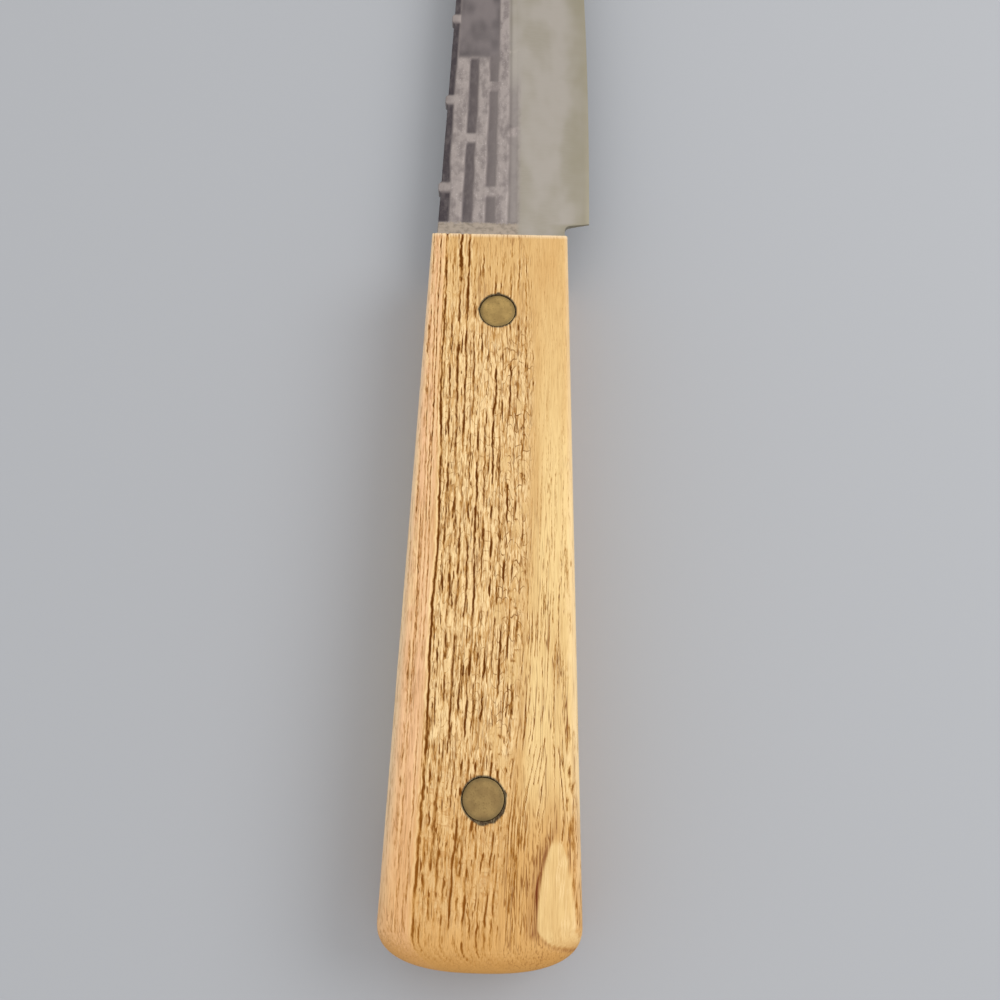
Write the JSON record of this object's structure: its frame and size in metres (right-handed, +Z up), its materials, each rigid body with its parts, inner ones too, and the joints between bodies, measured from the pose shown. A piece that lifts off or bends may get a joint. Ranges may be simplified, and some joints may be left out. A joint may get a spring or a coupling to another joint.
{
  "type": "slicing knife",
  "caption": "Slicing knife with a long pointed blade, a groove-patterned flat above a ground bevel, a notched heel, and a full-tang wooden handle held by flush brass rivets.",
  "frame": {"origin": "centre of the knife's bounding box on the surface it lies on, under the left handle scale's flat face", "axes": "+Y along the handle's centre line from butt to tip, +X from the spine towards the cutting edge, +Z up through the blade's right face"},
  "size_m": [0.0324, 0.329, 0.0202],
  "materials": {
    "blade_steel": "satin-ground bevel, dark forged flat",
    "handle_wood": "oiled open-grained oak-like wood",
    "rivet_brass": "dull worn brass"
  },
  "bodies": {
    "root": {"blade": "blade_steel", "right_scale": "handle_wood", "left_scale": "handle_wood", "front_rivet_socket": "rivet_brass", "front_rivet_pin": "rivet_brass", "rear_rivet_socket": "rivet_brass", "rear_rivet_pin": "rivet_brass"}
  },
  "joints": []
}
